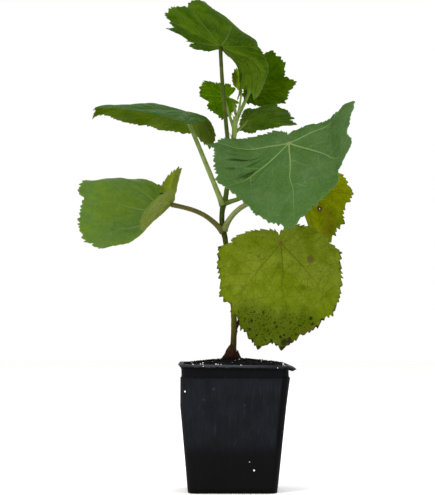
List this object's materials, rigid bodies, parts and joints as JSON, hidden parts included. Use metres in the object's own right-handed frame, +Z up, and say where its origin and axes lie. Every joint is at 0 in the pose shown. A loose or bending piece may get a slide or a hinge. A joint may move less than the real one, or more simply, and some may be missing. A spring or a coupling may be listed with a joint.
{
  "type": "potted young indian almond tree",
  "caption": "Young broad-leaved tree with large round lobed leaves on long stalks, standing in a square plastic nursery pot.",
  "frame": {"origin": "middle of the pot's flat underside", "axes": "+Z up along the plant, -Y towards the front, +X to the right seen from the front"},
  "size_m": [0.262, 0.1832, 0.453],
  "materials": {
    "pot_plastic": "thin black moulded plastic with fine upright ribs, slightly dusty",
    "soil": "dark damp potting mix with a few white grains",
    "stem_bark": "green to olive young bark, browner at the foot",
    "dry_sheath": "dry red-brown scale",
    "petiole": "smooth pale green stalk",
    "leaf": "soft satin green blade with pale veins",
    "old_leaf": "yellowing green blade with brown specks and dry margins",
    "young_leaf": "fresh green pleated young blade"
  },
  "bodies": {
    "root": {"pot": "pot_plastic", "soil": "soil", "stem": "stem_bark", "base_sheath": "dry_sheath", "stem_bud": "dry_sheath", "shoot_tip": "young_leaf", "leaf_top": "leaf", "leaf_upper_left": "leaf", "leaf_left": "leaf", "leaf_front": "leaf", "leaf_low_front": "old_leaf", "leaf_right_back": "old_leaf", "leaf_crown_left": "young_leaf", "leaf_crown_right": "young_leaf", "leaf_crown_low": "young_leaf", "leaf_crown_young": "young_leaf", "petiole_top": "petiole", "petiole_upper_left": "petiole", "petiole_left": "petiole", "petiole_front": "petiole", "petiole_low_front": "petiole", "petiole_low_front_end": "petiole", "petiole_right_back": "petiole", "petiole_crown_left": "petiole", "petiole_crown_right": "petiole", "petiole_crown_low": "petiole", "petiole_crown_young": "petiole"}
  },
  "joints": []
}
